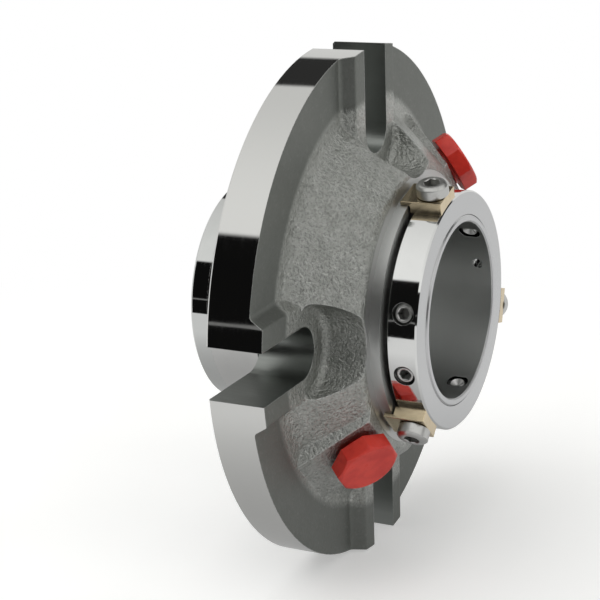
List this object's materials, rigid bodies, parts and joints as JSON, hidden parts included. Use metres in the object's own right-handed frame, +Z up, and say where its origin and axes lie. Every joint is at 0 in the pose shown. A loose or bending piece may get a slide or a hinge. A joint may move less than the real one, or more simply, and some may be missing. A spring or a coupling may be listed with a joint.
{
  "type": "cartridge mechanical seal",
  "caption": "Cartridge mechanical seal with slotted cast gland, shaft sleeve, lock ring, brass setting clips and plugged ports.",
  "frame": {"origin": "shaft axis at the gland's rear face, which seats on the stuffing box", "axes": "+X along the shaft out of the machine, +Z up, with a bolt slot on +Z and on +Y"},
  "size_m": [0.0696, 0.1464, 0.1464],
  "materials": {
    "cast_steel": "cast and blasted, machined bright at the rim and nose",
    "bright_steel": "turned and polished",
    "satin_steel": "satin turned",
    "screw_steel": "bright",
    "spring_steel": "rolled strip",
    "brass": "milled",
    "red_plastic": "moulded",
    "carbon": "lapped carbon graphite",
    "silicon_carbide": "lapped silicon carbide",
    "ring_rubber": "moulded",
    "gasket_sheet": "pressed fibre sheet"
  },
  "bodies": {
    "housing": {"gland": "cast_steel", "gland_gasket": "gasket_sheet", "throttle_bushing": "carbon", "retaining_ring": "spring_steel", "port_plug_1": "red_plastic", "port_plug_2": "red_plastic", "anti_rotation_pins": "screw_steel", "wave_spring": "spring_steel"},
    "stationary_unit": {"stationary_face": "carbon", "stationary_o_ring": "ring_rubber", "spring_plate": "satin_steel"},
    "rotor": {"sleeve": "satin_steel", "shaft_o_ring": "ring_rubber", "rotary_holder": "bright_steel", "holder_pins": "screw_steel", "rotary_o_ring": "ring_rubber", "rotary_face": "silicon_carbide", "drive_pins": "screw_steel", "lock_ring": "bright_steel", "cup_point_screws": "screw_steel", "dog_point_screws": "screw_steel", "setting_clip_1": "brass", "setting_clip_2": "brass", "setting_clip_3": "brass", "clip_screws": "screw_steel"}
  },
  "joints": [
    {"name": "shaft_turn", "type": "hinge", "parent": "housing", "child": "rotor", "pos_m": [0, 0, 0], "axis": [1, 0, 0], "continuous": true},
    {"name": "face_float", "type": "slide", "parent": "housing", "child": "stationary_unit", "axis": [1, 0, 0], "range_m": [0, 0.001], "deforming": ["wave_spring"]}
  ]
}
